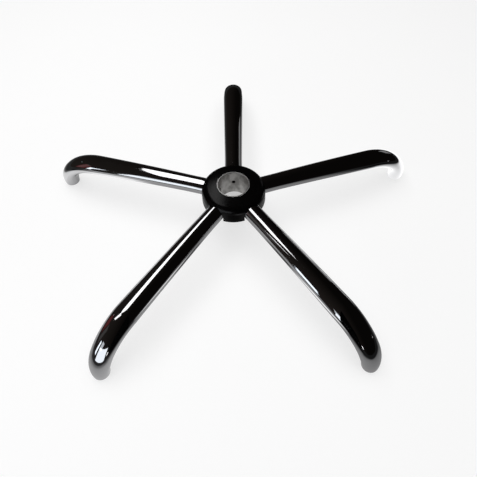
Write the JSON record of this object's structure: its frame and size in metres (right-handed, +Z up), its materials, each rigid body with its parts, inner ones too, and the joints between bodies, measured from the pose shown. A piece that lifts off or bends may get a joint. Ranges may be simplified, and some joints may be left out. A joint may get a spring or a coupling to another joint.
{
  "type": "office chair five-star base",
  "caption": "Star base of an office chair: chromed oval tube arms hooked down to the floor around a tapered gas-lift sleeve with a black moulded hub cover.",
  "frame": {"origin": "centre of the sleeve's mouth, where the gas lift goes in", "axes": "+Z up out of the sleeve, +Y along one arm, +X to the right of it, across the widest pair of arms"},
  "size_m": [0.667, 0.6358, 0.0985],
  "materials": {
    "chrome_tube": "polished chrome plate",
    "black_plastic": "satin moulded",
    "bare_steel": "machined, bare",
    "grey_nylon": "moulded nylon",
    "zinc_steel": "zinc plated"
  },
  "bodies": {
    "root": {"centre_sleeve": "bare_steel", "hub_cover": "black_plastic", "arm_1": "chrome_tube", "arm_2": "chrome_tube", "arm_3": "chrome_tube", "arm_4": "chrome_tube", "arm_5": "chrome_tube", "stem_plug_1": "grey_nylon", "stem_plug_2": "grey_nylon", "stem_plug_3": "grey_nylon", "stem_plug_4": "grey_nylon", "stem_plug_5": "grey_nylon", "stem_socket_1": "zinc_steel", "stem_socket_2": "zinc_steel", "stem_socket_3": "zinc_steel", "stem_socket_4": "zinc_steel", "stem_socket_5": "zinc_steel"}
  },
  "joints": []
}
